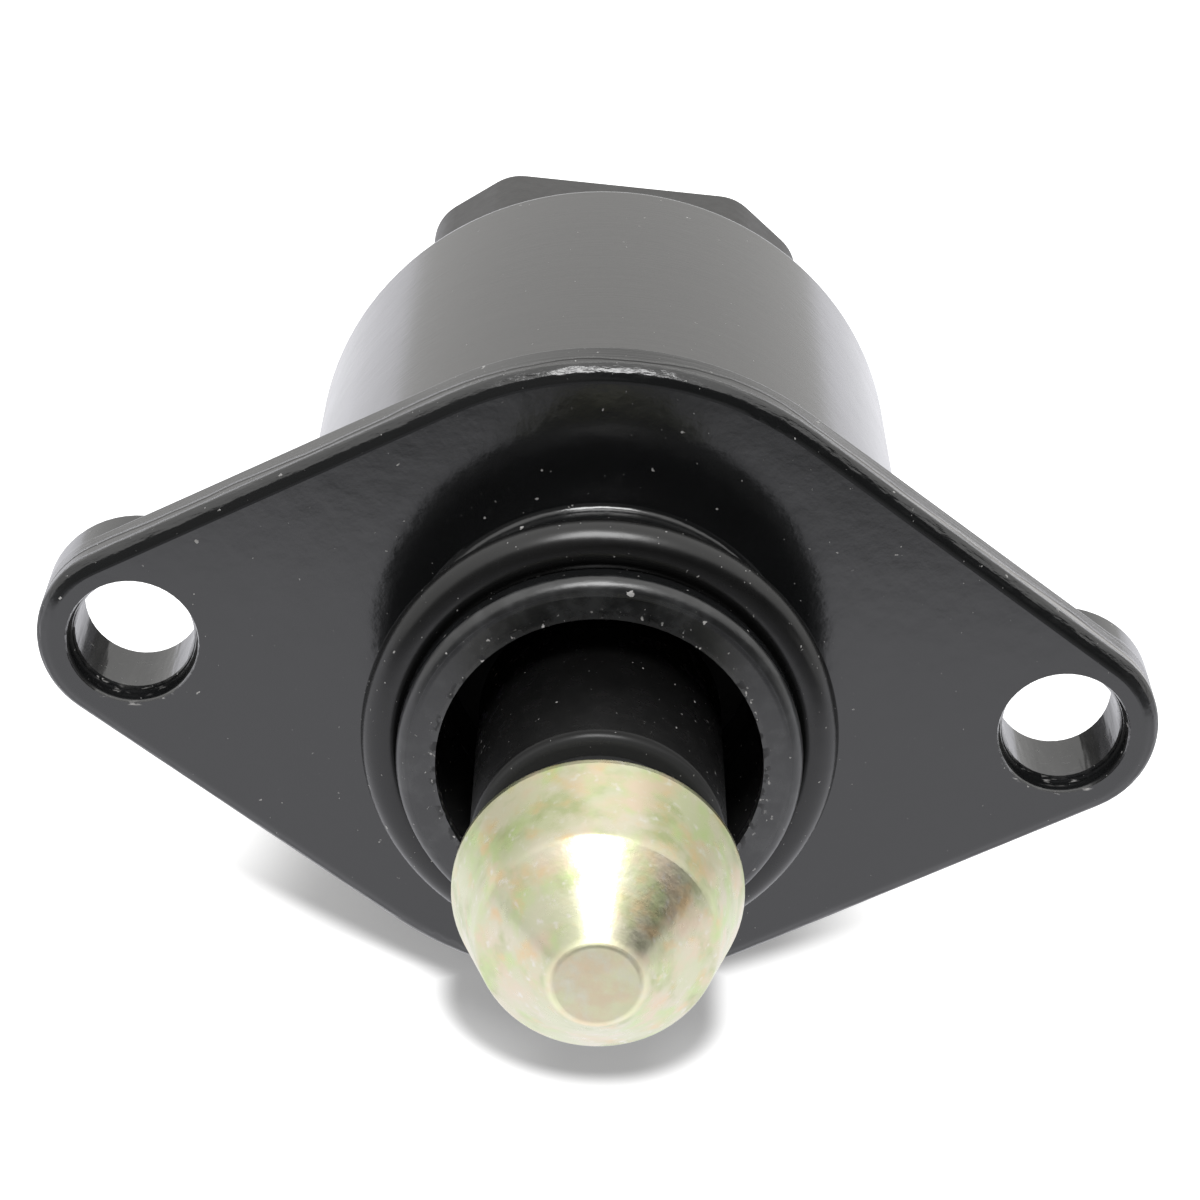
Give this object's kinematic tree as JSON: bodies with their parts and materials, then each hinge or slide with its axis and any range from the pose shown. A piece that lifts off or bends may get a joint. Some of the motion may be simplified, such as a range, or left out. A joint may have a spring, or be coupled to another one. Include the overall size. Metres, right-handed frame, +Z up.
{
  "type": "idle air control valve",
  "caption": "Stepper-motor air valve with a diamond bolt flange, a sealed nose, a tapered pintle that slides in and out, a round motor can and a blade connector.",
  "frame": {"origin": "centre of the flange's mounting face, on the valve axis", "axes": "+Y along the valve axis from the pintle to the connector, X through the two bolt holes, +Z up"},
  "size_m": [0.0532, 0.0711, 0.0322],
  "materials": {
    "housing_paint": "gloss black paint on a zinc casting",
    "can_paint": "gloss black paint on drawn steel",
    "seal_rubber": "satin black rubber",
    "sleeve_plastic": "satin black moulded plastic",
    "guide_plastic": "black low-friction plastic",
    "yellow_zinc": "yellow zinc plating on turned steel",
    "connector_plastic": "matt black glass-filled plastic",
    "terminal_tin": "tin plating on brass",
    "bright_steel": "ground steel",
    "brass": "turned brass",
    "bush_bronze": "sintered bronze",
    "hub_plastic": "natural moulded plastic",
    "ferrite": "ground ferrite",
    "stator_steel": "zinc-plated pressed steel",
    "bobbin_plastic": "ivory moulded plastic",
    "enamelled_wire": "enamelled copper winding"
  },
  "bodies": {
    "valve_body": {"front_housing": "housing_paint", "nose_o_ring": "seal_rubber", "guide_bush": "guide_plastic", "shaft_seal": "seal_rubber", "bearing_shim": "bright_steel", "bearing_outer_race": "bright_steel", "stator_cup_front": "stator_steel", "stator_plate_front": "stator_steel", "bobbin_front": "bobbin_plastic", "coil_front": "enamelled_wire", "stator_cup_rear": "stator_steel", "stator_plate_rear": "stator_steel", "bobbin_rear": "bobbin_plastic", "coil_rear": "enamelled_wire", "end_plate": "stator_steel", "rear_bush": "bush_bronze", "motor_can": "can_paint", "connector_housing": "connector_plastic", "can_seal": "seal_rubber", "terminal_1": "terminal_tin", "terminal_2": "terminal_tin", "terminal_3": "terminal_tin", "terminal_4": "terminal_tin"},
    "rotor": {"bearing_inner_race": "bright_steel", "rotor_nut": "brass", "rotor_hub": "hub_plastic", "rotor_magnet": "ferrite"},
    "ball_set": {"bearing_balls": "bright_steel", "bearing_cage": "brass"},
    "pintle": {"lead_screw": "bright_steel", "plunger_sleeve": "sleeve_plastic", "pintle_head": "yellow_zinc"}
  },
  "joints": [
    {"name": "rotor_spin", "type": "hinge", "parent": "valve_body", "child": "rotor", "pos_m": [0, 0.0105, 0], "axis": [0, -1, 0], "range_deg": [-360, 2520]},
    {"name": "pintle_slide", "type": "slide", "parent": "valve_body", "child": "pintle", "axis": [0, -1, 0], "range_m": [-0.007, 0.001]},
    {"name": "ball_set_spin", "type": "hinge", "parent": "valve_body", "child": "ball_set", "pos_m": [0, 0.0105, 0], "axis": [0, -1, 0], "range_deg": [-145, 1015]}
  ],
  "couplings": [
    {"joint": "rotor_spin", "follows": "pintle_slide", "rad_per_m": -6283.2},
    {"joint": "ball_set_spin", "follows": "pintle_slide", "rad_per_m": -2529}
  ]
}
